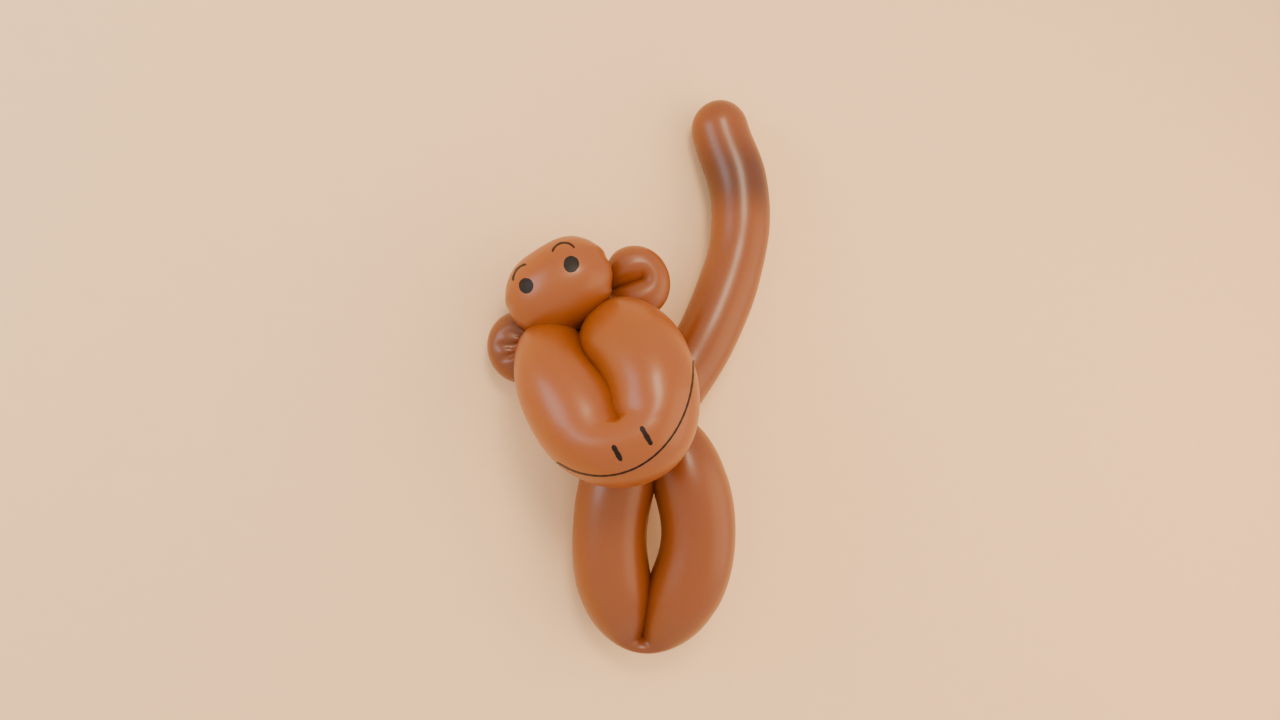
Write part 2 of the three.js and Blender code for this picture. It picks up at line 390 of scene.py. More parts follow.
@dataclass
class FoldedBubble(Bubble):
    """A long bubble folded in two, with its limbs side by side.

    The outline is an oval round the spine: `wide` is its half-width, `widest` the distance down the
    spine where it has that width, `before` and `after` its half-lengths. The groove between the
    limbs ends at `groove`. `apart` gives the distance of a limb's axis from the spine, in limb
    radii: under 1, the limbs press flat on each other. `sway` moves the groove sideways.
    """

    spine: Route = None
    across: tuple[float, float, float] = (1.0, 0.0, 0.0)
    wide: float = 50.0
    widest: float = 50.0
    before: float = 50.0
    after: float = 50.0
    groove: float = 80.0
    apart: Callable[[Array], Array] = None
    sway: Callable[[Array], Array] = None
    creases: tuple[Crease, ...] = ()
    oval_power: float = 2.15
    contact_sides: int = 6
    valley: float = 9.0
    fill: float = 0.0

    def reach(self, v: Array) -> Array:
        """Gives the outline's half-width at distances v down the spine."""
        half = np.where(v < self.widest, self.before, self.after)
        t = np.minimum(1.0, np.abs(v - self.widest) / half)
        return self.wide * (1 - t**self.oval_power) ** (1 / self.oval_power)

    def skin(self, row: Array, column: Array) -> tuple[Array, Array, Array]:
        """Gives each vertex's place, its stretch, and whether it is pressed between limbs."""
        half = self.rings // 2
        rings, stretch = self._limb(half)
        other_limb = row > half
        level = np.where(other_limb, self.rings - row, row)
        flat = rings[level, column].copy()
        inner = (flat[:, 0] > -1e-9) | (level == half)
        flat[other_limb, 0] *= -1.0
        self._press_creases(flat)
        return self._place(flat), stretch[level, column], inner

    def _limb(self, half: int) -> tuple[Array, Array]:
        """Builds the rings of the left limb, from its twist to the middle of the fold.

        Args:
            half: How many rings there are after the twist.

        Returns:
            Points across, down and out of the spine, and the stretch, by ring and by column.
        """
        below = (self.groove - self.widest) / self.after
        start = math.asin(below ** (self.oval_power / 2))
        v = np.linspace(0.0, self.groove, LIMB_SAMPLES)
        reach = self.reach(v)
        radius = reach / (1 + self.apart(v))
        turn = np.linspace(start, math.pi / 2, FOLD_SAMPLES)[1:]
        round_fold = self._round_fold(turn, start)
        key = np.concatenate([v, self.groove + np.arange(1, len(turn) + 1) / len(turn)])
        down = np.concatenate([v, round_fold[1]])
        wide = np.concatenate([reach, round_fold[0]])
        deep = np.concatenate([radius, np.full(len(turn), radius[-1])])
        stations = even_stations(np.stack([key, down, wide, deep], axis=1), half + 1)
        rings = np.zeros((half + 1, self.segments, 3))
        stretch = np.zeros((half + 1, self.segments))
        rings[0, :, 0] = min(-float(reach[0] - radius[0]), -0.01)
        groove_reach = float(self.reach(np.array([self.groove]))[0])
        for i, station in enumerate(stations[1:], 1):
            v_here = np.array([min(station, self.groove)])
            reach_here = self.reach(v_here)
            apart = float(self.apart(v_here)[0])
            x, z, angle = self._ring(float(reach_here[0]), apart)
            z = z * self.pleat(angle, v_here[0])
            down = np.full(self.segments, v_here[0])
            if station > self.groove:
                turned = start + (math.pi / 2 - start) * (station - self.groove)
                wide, low = self._round_fold(np.array([turned]), start)
                x_ring, part = x, x / groove_reach
                x = part * (0.0 if i == half else wide[0])
                down = self.groove - part * (low[0] - self.groove)
                z = self._close_valley(x_ring, z, station - self.groove)
            rings[i] = np.stack([x, down, z], axis=1)
            fullness = reach_here[0] / (1 + apart) / (0.5 * self.wide)
            stretch[i] = self.tautness * min(1.0, fullness)
        return self._ease_into_fold(rings, int(np.argmin(np.abs(stations - self.groove)))), stretch

    def _close_valley(self, x: Array, z: Array, turned: float) -> Array:
        """Fills the valley past the groove's end out to the fold's crest.

        Args:
            x: The ring's points, across.
            z: The ring's points, out of the spine.
            turned: How far round the fold the ring is, from 0 to 1.

        Returns:
            The points, out of the spine.
        """
        crest = np.abs(z).max()
        inner = -x < -x[np.argmax(np.abs(z))]
        share = ease(-x / self.valley) * ease(turned / 0.4) * inner * self.fill
        return np.where(share > 0, np.sign(z) * (np.abs(z) + (crest - np.abs(z)) * share), z)

    @staticmethod
    def _ease_into_fold(rings: Array, at: int) -> Array:
        """Rounds off the change of direction where the limb runs into the fold.

        Args:
            rings: The limb's rings, the last of them in the middle of the fold.
            at: The ring where the fold starts.

        Returns:
            The rings, smoothed along the limb.
        """
        last = len(rings) - 1
        start = at - EASING_RINGS
        share = np.zeros(last + 1)
        share[start:] = ease((np.arange(start, last + 1) - start) / EASING_BLEND)
        for _ in range(EASING_PASSES):
            beyond = rings[last - 1 : last] * np.array([-1.0, 1.0, 1.0])
            around = np.concatenate([rings[1:], beyond]) + np.concatenate([rings[:1], rings[:-1]])
            rings = rings + (around / 2 - rings) * 0.5 * share[:, None, None]
        return rings

    def _round_fold(self, turn: Array, start: float) -> tuple[Array, Array]:
        """Gives the outline's half-width and its distance down the spine, round the fold."""
        wide = self.wide * np.cos(turn) ** (2 / self.oval_power)
        low = self.widest + self.after * np.sin(turn) ** (2 / self.oval_power)
        return wide, low

    def _ring(self, reach: float, apart: float) -> tuple[Array, Array, Array]:
        """Gives one ring of the left limb: across, out, and the angle of each point."""
        least = 0.02
        radius = reach / (1 + apart)
        meeting = math.acos(min(apart, math.cos(least)))
        pressed = apart < math.cos(least)
        sides = self.segments - self.contact_sides
        angle = meeting + (2 * math.pi - 2 * meeting) * np.arange(sides + 1) / sides
        part = 2 * np.arange(1, self.contact_sides) / self.contact_sides - 1
        angle = np.concatenate([angle, part * meeting])
        x = radius * (np.cos(angle) - apart)
        z = radius * np.sin(angle)
        if pressed:
            flat = np.arange(self.segments) > sides
            flat[[0, sides]] = True
            x[flat] = 0.0
            z[sides + 1 :] = part * radius * math.sin(meeting)
        return x, z, angle

    def _press_creases(self, flat: Array) -> None:
        """Presses the creases into the front, in points across, down and out of the spine."""
        front = ease(flat[:, 2] / 3.0)
        for crease in self.creases:
            bearing = math.radians(crease.bearing_deg)
            x, v = flat[:, 0] - crease.from_mm[0], flat[:, 1] - crease.from_mm[1]
            along = v * math.sin(bearing) - x * math.cos(bearing)
            aside = v * math.cos(bearing) + x * math.sin(bearing)
            wide = crease.width * (1.0 + 0.05 * np.clip(along, 0.0, None))
            fade = ease(along / 3.0) * (1.0 - ease((along / crease.length - 0.4) / 0.6))
            flat[:, 2] -= crease.depth * front * fade * np.exp(-((aside / wide) ** 2))

    def _place(self, flat: Array) -> Array:
        """Puts points given across, down and out of the spine in the figure's frame."""
        v = np.clip(flat[:, 1], 0.0, self.spine.length)
        along = self.spine.direction(v)
        out = np.cross(along, np.array(self.across))
        out /= np.linalg.norm(out, axis=1, keepdims=True)
        side = np.cross(out, along)
        x = flat[:, 0]
        x = x + self.sway(flat[:, 1]) * (1 - np.minimum(1.0, np.abs(x) / self.wide))
        return self.spine.position(v) + x[:, None] * side + flat[:, 2:3] * out


@dataclass
class Nozzle(Bubble):
    """The tied mouth of the balloon, turned about its own axis."""

    profile: tuple[tuple[float, float], ...] = ()
    start: tuple[float, float, float] = (0.0, 0.0, 0.0)
    direction: tuple[float, float, float] = (0.0, 0.0, 1.0)

    def skin(self, row: Array, column: Array) -> tuple[Array, Array, Array]:
        """Gives each vertex's place, its stretch, and whether it is pressed between limbs."""
        profile = np.array(self.profile)
        steps = np.linalg.norm(np.diff(profile, axis=0), axis=1)
        at = np.concatenate([[0.0], np.cumsum(steps)])
        where = np.linspace(0.0, at[-1], self.rings + 1)
        radius = np.interp(where, at, profile[:, 0])
        height = np.interp(where, at, profile[:, 1])
        axis = np.array(self.direction) / np.linalg.norm(self.direction)
        one = np.cross(axis, [0.0, 0.0, 1.0])
        one /= np.linalg.norm(one)
        other = np.cross(axis, one)
        angle = 2 * math.pi * column / self.segments
        ripple = 1.0 + self.pleat_depth * np.cos(self.pleats * angle + 0.25 * height[row])
        r = (radius[row] * ripple)[:, None]
        out = np.cos(angle)[:, None] * one + np.sin(angle)[:, None] * other
        points = np.array(self.start) + height[row][:, None] * axis + r * out
        return points, np.zeros(len(row)), np.zeros(len(row), dtype=bool)


# ---- The figure -----------------------------------------------------------------------------

LEFT_EAR_TWIST = (-76.0, 18.0, 6.0)
RIGHT_EAR_TWIST = (-22.0, 49.0, 2.0)
BODY_TWIST = (11.0, -36.0, -14.0)
TWIST_RADIUS = 4.3
TWISTS = (
    (LEFT_EAR_TWIST, TWIST_RADIUS),
    (RIGHT_EAR_TWIST, TWIST_RADIUS),
    (BODY_TWIST, TWIST_RADIUS),
    ((-44.0, 20.0, -2.0), 13.0),  # behind the top of the muzzle's groove, where it would see through
)
MUZZLE_DOME = 32.0
FACE_VIEWPOINT = (0.0, 0.0, 600.0)
FACE_DISTANCE = 540.0


def muzzle_apart(v: Array) -> Array:
    """The muzzle's limbs start as two domes side by side and press on each other below them."""
    pressed = 0.92 - 0.14 * ease((v - 60.0) / 40.0)
    return (1.0 + pressed) / np.maximum(dome(v / MUZZLE_DOME), 0.02) - 1.0


def muzzle_sway(v: Array) -> Array:
    """The line between the muzzle's limbs wanders."""
    wander = 3.5 * np.sin(2 * math.pi * (25.0 - v) / 76.0) * ease(v / 25.0)
    return (wander - 2.6) * ease((101.0 - v) / 12.0)


def legs_apart(v: Array) -> Array:
    """The legs part in the middle of their length."""
    return 0.86 + 0.33 * np.sin(math.pi * ease((v - 14.0) / 154.0)) ** 2


def solid_ear_apart(v: Array) -> Array:
    """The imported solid's ears have limbs that press on each other a little."""
    return np.full_like(v, 0.8)


def left_ear_apart(v: Array) -> Array:
    """The left ear's limbs press so hard on each other that only a shallow hollow is left."""
    return np.full_like(v, 0.45)


def right_ear_apart(v: Array) -> Array:
    """The right ear's limbs leave a deep hollow between them."""
    return 0.93 - 0.11 * ease(v / 24.0)


def no_sway(v: Array) -> Array:
    """The line between the limbs runs straight."""
    return np.zeros_like(v)


LEFT_EAR_CREASES = (
    Crease((1.0, 6.0), 124.0, 26.0, 2.4, 1.4),
    Crease((1.0, 6.0), 101.0, 32.0, 3.2, 1.3),
    Crease((0.5, 6.0), 80.0, 32.0, 3.0, 1.3),
    Crease((0.0, 6.0), 57.0, 27.0, 2.2, 1.4),
)
# The nozzle, as radius and height above its twist: wound neck, tied knot and rolled lip
NOZZLE_PROFILE = (
    (0.0, -4.0), (2.6, -4.0), (2.4, 4.0), (4.6, 6.5), (5.0, 9.0), (4.2, 11.5), (2.2, 13.0),
    (2.6, 15.0), (5.6, 18.4), (6.4, 19.2), (6.4, 20.2), (5.6, 20.8), (0.0, 19.6),
)


def figure_bubbles() -> list[Bubble]:
    """Lists the balloon's bubbles.

    Returns:
        The head, the hidden neck, the tail, the muzzle, the legs, the ears and the nozzle.
    """
    head = Route((-84, 32, 4), (-62, 46, 20), (-45, 56, 20), (-30, 60, 7))
    neck = Route(RIGHT_EAR_TWIST, (-10, 20, -8), (2, -14, -18), BODY_TWIST)
    tail = Route(
        BODY_TWIST, (32, -14, -34), (57, 30, -44), (75, 80, -54),
        (79.5, 112, -58), (77, 143, -62), (66, 176, -65), (58, 206, -66),
    )
    muzzle = Route((-42, 19, -2), (-36, 11, 24), (-23, -12, 50), (-6, -54, 70), (6, -94, 92))
    legs = Route(BODY_TWIST, (10, -80, -8), (10, -130, -4), (5, -175, -8), (-2, -220, -20))
    ear = {"wide": 28.0, "widest": 19.0, "before": 19.0, "after": 28.0, "groove": 24.0}
    ear |= {"sway": no_sway, "segments": 112, "rings": 112}
    return [
        PlainBubble("head", 112, 112, path=head, radius=30.9, domes=(33.0, 24.0)),
        PlainBubble("neck", 64, 64, path=neck, radius=23.0, domes=(26.0, 26.0)),
        PlainBubble(
            "tail", 96, 176, tautness=0.74, path=tail,
            radius=23.4, domes=(30.0, 23.5), smooth_end=True, swell=0.012,
        ),
        FoldedBubble(
            "muzzle", 112, 220, spine=muzzle, across=(0.97, 0.2, 0.13),
            wide=58.5, widest=67.0, before=77.0, after=74.0, groove=101.0,
            apart=muzzle_apart, sway=muzzle_sway, fill=0.55, pleat_depth=0.0,
        ),
        FoldedBubble(
            "legs", 112, 280, spine=legs,
            wide=59.0, widest=92.0, before=93.0, after=86.0, groove=164.0,
            apart=legs_apart, sway=no_sway, pleat_depth=0.03, tautness=0.74,
        ),
        FoldedBubble(
            "left_ear", **ear, spine=Route((-64, 14, 2), (-86, 9, 1), (-112, 3, -4)),
            across=(0.22, -0.97, 0.0), apart=left_ear_apart, creases=LEFT_EAR_CREASES, tautness=0.42,
        ),
        FoldedBubble(
            "right_ear", **ear, spine=Route((-23, 49, 2), (-3, 56, 1), (26, 66, -4)),
            across=(-0.33, 0.94, 0.0), apart=right_ear_apart, tautness=0.8,
        ),
        Nozzle(
            "nozzle", 40, 60, pleats=7, profile=NOZZLE_PROFILE,
            start=LEFT_EAR_TWIST, direction=(-0.55, 0.45, -0.7),
        ),
    ]


SUPPORTS = ("legs", "left_ear", "tail")
FLAT_DEPTH = 1.2  # how far the skin is pressed flat where it lies on the table


def resting_up(supports: Sequence[Array], rounds: int = 30) -> Array:
    """Finds what is up when the figure lies on three of its bubbles.

    Args:
        supports: The points of each of the three.
        rounds: How many times the guess is bettered.

    Returns:
        The direction square to the plane that touches all three from below.
    """
    up = np.array([0.0, 0.0, 1.0])
    for _ in range(rounds):
        a, b, c = (points[np.argmin(points @ up)] for points in supports)
        square = np.cross(b - a, c - a)
        up = square / np.linalg.norm(square) * np.sign(square[2])
    return up


def settled() -> Lie:
    """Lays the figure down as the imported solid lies, on its legs, its left ear and its tail.

    Returns:
        The lie, with the origin on the table, under the middle of the figure's bounding box.
    """
    bubbles = {bubble.name: bubble for bubble in figure_bubbles()}
    bubbles["left_ear"] = replace(bubbles["left_ear"], apart=solid_ear_apart, creases=())
    points = {name: bubble.outline() for name, bubble in bubbles.items()}
    lie = Lie(tuple(resting_up([points[name] for name in SUPPORTS])))
    lying = np.vstack(list(points.values())) @ np.array(lie.turn).T
    low, high = lying.min(axis=0), lying.max(axis=0)
    middle = (low + high) / 2
    return replace(lie, origin_mm=(-middle[0], -middle[1], -low[2] - FLAT_DEPTH))


LIE = settled()  # where every bubble is blown


@dataclass
class Skin:
    """The balloon's whole skin, in one piece."""

    smooth_angle_deg: float = 32.0

    def build(self) -> bpy.types.Object:
        """Blows the bubbles and joins them.

        Returns:
            The skin, with its stretch and the darker band on its tail in mesh attributes.
        """
        bubbles = [bubble.blow() for bubble in figure_bubbles()]
        for obj in bubbles:
            LOG.info("%s: %d faces", obj.name, len(obj.data.polygons))
        source = self._remember(bubbles)
        skin = self._join([*bubbles, *self._twists()])
        skin.name = skin.data.name = "balloon_skin"
        self._tidy(skin)
        self._press_flat(skin)
        self._colour(skin, source)
        select_only(skin)
        bpy.ops.object.shade_smooth_by_angle(angle=math.radians(self.smooth_angle_deg))
        return skin

    @staticmethod
    def _remember(bubbles: list[bpy.types.Object]) -> tuple[KDTree, Array, list[str]]:
        """Notes each bubble's vertices and stretch, to colour the joined skin by."""
        points = [read_vertices(obj) for obj in bubbles]
        stretch, owner = [], []
        for obj, p in zip(bubbles, points):
            value = np.empty(len(p), dtype=np.float32)
            obj.data.attributes["stretch"].data.foreach_get("value", value)
            stretch.append(value)
            owner += [obj.name] * len(p)
        every = np.vstack(points)
        tree = KDTree(len(every))
        for i, p in enumerate(every):
            tree.insert(p, i)
        tree.balance()
        return tree, np.concatenate(stretch), owner

    @staticmethod
    def _twists() -> list[bpy.types.Object]:
        """Adds the small knots of wound skin between the bubbles."""
        made = []
        for at, radius in TWISTS:
            deselect_all()
            bpy.ops.mesh.primitive_uv_sphere_add(
                segments=32, ring_count=20, radius=radius * MM, location=LIE.place_one(at)
            )
            bpy.ops.object.transform_apply(location=True, rotation=True, scale=True)
            made.append(bpy.context.object)
        return made

    @staticmethod
    def _join(parts: list[bpy.types.Object]) -> bpy.types.Object:
        """Joins closed parts into the first of them."""
        whole = parts[0]
        for part in parts[1:]:
            apply_modifier(whole, "BOOLEAN", operation="UNION", solver="MANIFOLD", object=part)
            bpy.data.objects.remove(part)
        return whole

    @staticmethod
    def _tidy(skin: bpy.types.Object) -> None:
        """Welds the slivers along the seams and splits every face into triangles."""
        select_only(skin)
        bpy.ops.object.mode_set(mode="EDIT")
        bpy.ops.mesh.select_mode(type="VERT")
        bpy.ops.mesh.select_all(action="SELECT")
        bpy.ops.mesh.dissolve_degenerate(threshold=SLIVER_M)
        bpy.ops.mesh.select_all(action="SELECT")
        bpy.ops.mesh.quads_convert_to_tris()
        bpy.ops.mesh.normals_make_consistent(inside=False)
        bpy.ops.object.mode_set(mode="OBJECT")

    @staticmethod
    def _press_flat(skin: bpy.types.Object) -> None:
        """Flattens the skin where it lies on the table, and keeps it inside the solid's box."""
        low, high = (np.array(corner) for corner in CAD_BOX)
        write_vertices(skin, np.clip(read_vertices(skin), low, high))

    @staticmethod
    def _colour(skin: bpy.types.Object, source: tuple[KDTree, Array, list[str]]) -> None:
        """Carries the stretch over, and marks the band below the tail's tip that is coloured darker."""
        tree, stretch, owner = source
        points = read_vertices(skin)
        found = [tree.find(p)[1] for p in points]
        own = np.array([owner[i] == "tail" for i in found], dtype=float)
        back = (points / MM - np.array(LIE.origin_mm)) @ np.array(LIE.turn)
        # Darkens the tail in a band below its tip; what makes it dark there is not modelled.
        band = ease((back[:, 1] - 104.0) / 34.0) * (1.0 - ease((back[:, 1] - 146.0) / 44.0))
        layers = {"stretch": stretch[found], "dark_tail_band": own * band}
        for name, values in layers.items():
            layer = skin.data.attributes.get(name) or skin.data.attributes.new(name, "FLOAT", "POINT")
            layer.data.foreach_set("value", values.astype(np.float32))


# ---- The face -------------------------------------------------------------------------------


@dataclass(frozen=True)
class Arc:
    """Part of an oval, in millimetres, from one bearing to another."""

    centre: tuple[float, float]
    half_size: tuple[float, float]
    bearings_deg: tuple[float, float]

    def points(self, count: int = 13) -> list[tuple[float, float]]:
        """Gives points along it."""
        (x, y), (wide, high) = self.centre, self.half_size
        bearings = np.radians(np.linspace(*self.bearings_deg, count))
        return [(x + wide * math.cos(b), y + high * math.sin(b)) for b in bearings]


LEFT_BROW = Arc((-81.0, 57.0), (10.5, 12.0), (180.0, 95.0))
RIGHT_BROW = Arc((-54.5, 75.5), (9.0, 9.0), (165.0, 35.0))
MOUTH = Arc((-28.0, -4.0), (66.5, 79.5), (-119.0, 3.0))
BROW_WIDTH, NOSTRIL_WIDTH, MOUTH_WIDTH = 1.5, 3.6, 1.35


def dash(middle: tuple[float, float], length: float, bearing_deg: float) -> list[tuple[float, float]]:
    """Gives the ends and the middle of a short straight stroke, in millimetres."""
    x, y = middle
    bearing = math.radians(bearing_deg)
    across, up = math.cos(bearing) * length / 2, math.sin(bearing) * length / 2
    return [(x - across, y - up), middle, (x + across, y + up)]


SPOT_GRID = (26, 26)
STROKE_ROWS = 6  # across a stroke
STROKE_STEP = 0.8  # millimetres along it
LEAST_STROKE_STEPS = 16
EVENING_PASSES = 4  # how often the outward directions of a patch are averaged
INK_SMOOTH_ANGLE_DEG = 50.0


@dataclass(frozen=True)
class Ink:
    """How thick the ink lies, in millimetres."""

    proud: float = 0.12
    sunk: float = 0.06


class Marker:
    """A marker pen that draws on the skin, as seen from in front of the face."""

    def __init__(self, skin: bpy.types.Object, ink: Ink = Ink()) -> None:
        """Takes up the pen.

        Args:
            skin: The skin that it draws on.
            ink: How thick the ink lies.
        """
        graph = bpy.context.evaluated_depsgraph_get()
        self.surface = BVHTree.FromObject(skin, graph)
        self.eye = LIE.place_one(FACE_VIEWPOINT)
        self.ink = ink

    def on_skin(self, x: float, y: float) -> tuple[Vector, Vector]:
        """Finds the skin behind a point of the plane through the figure's middle.

        Args:
            x: The point's place to the right, in millimetres.
            y: Its place upwards, in millimetres.

        Returns:
            The place and the outward direction there. Off the figure's edge, the nearest skin.
        """
        aim = (LIE.place_one((x, y, 0.0)) - self.eye).normalized()
        hit, normal, _, _ = self.surface.ray_cast(self.eye, aim)
        if hit is None:
            hit, normal, _, _ = self.surface.find_nearest(self.eye + aim * FACE_DISTANCE * MM)
        return hit, normal

    def lay(self, name: str, grid: tuple[int, int], where: Callable) -> bpy.types.Object:
        """Lays a patch of ink on the skin.

        Args:
            name: Its name.
            grid: How many faces it has along and across.
            where: Gives the place in the plane for two numbers from -1 to 1.

        Returns:
            The patch, a thin closed solid.
        """
        deselect_all()
        bpy.ops.mesh.primitive_grid_add(x_subdivisions=grid[0], y_subdivisions=grid[1], size=2.0)
        patch = bpy.context.object
        patch.name = patch.data.name = name
        points, outward = [], []
        for u, v, _ in read_vertices(patch):
            place, normal = self.on_skin(*where(float(u), float(v)))
            points.append(place)
            outward.append(normal)
        normals = self._evened(patch, np.array(outward))
        write_vertices(patch, np.array(points) + normals * self.ink.proud * MM)
        thickness = (self.ink.proud + self.ink.sunk) * MM
        self._face_out(patch, normals)
        apply_modifier(patch, "SOLIDIFY", thickness=thickness, offset=-1.0, use_even_offset=False)
        bpy.ops.object.shade_smooth_by_angle(angle=math.radians(INK_SMOOTH_ANGLE_DEG))
        return patch

    @staticmethod
    def _evened(patch: bpy.types.Object, normals: Array) -> Array:
        """Evens the directions out between neighbouring points."""
        edges = np.empty(len(patch.data.edges) * 2, dtype=np.int64)
        patch.data.edges.foreach_get("vertices", edges)
        a, b = edges.reshape(-1, 2).T
        for _ in range(EVENING_PASSES):
            total = normals.copy()
            np.add.at(total, a, normals[b])
            np.add.at(total, b, normals[a])
            normals = total / np.linalg.norm(total, axis=1, keepdims=True)
        return normals

    @staticmethod
    def _face_out(patch: bpy.types.Object, normals: Array) -> None:
        """Turns the patch's faces outwards."""
        select_only(patch)
        first = patch.data.polygons[len(patch.data.polygons) // 2]
        if first.normal.dot(Vector(normals[first.vertices[0]])) < 0:
            bpy.ops.object.mode_set(mode="EDIT")
            bpy.ops.mesh.select_all(action="SELECT")
            bpy.ops.mesh.flip_normals()
            bpy.ops.object.mode_set(mode="OBJECT")

    def spot(self, name: str, centre: tuple[float, float], size: tuple[float, float],
             tilt_deg: float = 0.0, ragged: float = 0.015) -> bpy.types.Object:
        """Fills in a round spot with a slightly ragged edge.

        Args:
            name: Its name.
            centre: Its middle, in millimetres.
            size: Its half-width and half-height, in millimetres.
            tilt_deg: How far it is turned.
            ragged: How far its edge wanders, as a share of its size.

        Returns:
            The patch of ink.
        """
        tilt = math.radians(tilt_deg)

        def where(u: float, v: float) -> tuple[float, float]:
            x = u * math.sqrt(1 - v * v / 2)
            y = v * math.sqrt(1 - u * u / 2)
            bearing = math.atan2(y, x)
            edge = 1 + ragged * (math.sin(3 * bearing + 0.7) + 0.6 * math.sin(7 * bearing + 2.0))
            x, y = x * size[0] * edge, y * size[1] * edge
            return (
                centre[0] + x * math.cos(tilt) - y * math.sin(tilt),
                centre[1] + x * math.sin(tilt) + y * math.cos(tilt),
            )

        return self.lay(name, SPOT_GRID, where)

    def stroke(self, name: str, points: Sequence[tuple[float, float]], width: float,
               tips: tuple[float, float] = (0.35, 0.35)) -> bpy.types.Object:
        """Draws a stroke with tapered ends.

        Args:
            name: Its name.
            points: Places that it passes through, in millimetres.
            width: Its width, in millimetres.
            tips: The share of the width that is left at its start and its end.

        Returns:
            The patch of ink.
        """
        route = Route(*[(x, y, 0.0) for x, y in points])

        def where(u: float, v: float) -> tuple[float, float]:
            s = np.array([(u + 1) / 2 * route.length])
            p, d = route.position(s)[0], route.direction(s)[0]
            start = tips[0] + (1 - tips[0]) * float(dome(s[0] / width))
            end = tips[1] + (1 - tips[1]) * float(dome((route.length - s[0]) / width))
            wobble = 1 + 0.09 * math.sin(0.9 * s[0]) + 0.05 * math.sin(2.3 * s[0] + 1.0)
            aside = v * width / 2 * start * end * wobble
            return p[0] - d[1] * aside, p[1] + d[0] * aside

        along = max(LEAST_STROKE_STEPS, int(route.length / STROKE_STEP))
        return self.lay(name, (along, STROKE_ROWS), where)


def draw_face(marker: Marker) -> list[bpy.types.Object]:
    """Draws the eyes, the brows, the nostrils and the mouth.

    Args:
        marker: The pen that draws them.

    Returns:
        The patches of ink.
    """
    return [
        marker.spot("left_eye", (-82.0, 53.5), (5.2, 5.6), 10.0),
        marker.spot("right_eye", (-49.5, 69.0), (5.6, 6.0), -8.0),
        marker.stroke("left_brow", LEFT_BROW.points(), BROW_WIDTH),
        marker.stroke("right_brow", RIGHT_BROW.points(), BROW_WIDTH),
        marker.stroke("left_nostril", dash((-16.5, -67.0), 13.0, -61.0), NOSTRIL_WIDTH),
        marker.stroke("right_nostril", dash((4.5, -54.5), 15.5, -60.0), NOSTRIL_WIDTH),
        marker.stroke("mouth", MOUTH.points(), MOUTH_WIDTH),
    ]


# ---- Finishes -------------------------------------------------------------------------------


def srgb(red: float, green: float, blue: float) -> tuple[float, float, float, float]:
    """Turns a colour of 0 to 255 into the renderer's linear values."""
    def linear(c: float) -> float:
        c /= 255.0
        return c / 12.92 if c <= 0.04045 else ((c + 0.055) / 1.055) ** 2.4

    return linear(red), linear(green), linear(blue), 1.0


class Nodes:
    """A material's node tree, written node by node."""

    def __init__(self, name: str) -> None:
        """Starts a material with an empty tree."""
        self.material = bpy.data.materials.new(name)
        self.material.use_nodes = True
        self.tree = self.material.node_tree
        self.tree.nodes.clear()

    def add(self, kind: str, inputs: dict | None = None, **settings: object) -> bpy.types.Node:
        """Adds a node.

        Args:
            kind: Its type, without the ShaderNode at the front.
            inputs: Its sockets' values, or the sockets that they are linked from.
            settings: Its own settings.

        Returns:
            The node.
        """
        node = self.tree.nodes.new("ShaderNode" + kind)
        for name, value in settings.items():
            setattr(node, name, value)
        for key, value in (inputs or {}).items():
            if isinstance(value, bpy.types.NodeSocket):
                self.tree.links.new(value, node.inputs[key])
            else:
                node.inputs[key].default_value = value
        return node

    def maths(self, operation: str, *values: object) -> bpy.types.NodeSocket:
        """Adds a sum and returns its result."""
        node = self.add("Math", dict(enumerate(values)), operation=operation)
        return node.outputs[0]

    def mix(self, factor: object, first: object, second: object) -> bpy.types.NodeSocket:
        """Mixes two colours and returns the result."""
        node = self.add("Mix", data_type="RGBA")
        for index, value in ((0, factor), (6, first), (7, second)):
            if isinstance(value, bpy.types.NodeSocket):
                self.tree.links.new(value, node.inputs[index])
            else:
                node.inputs[index].default_value = value
        return node.outputs[2]


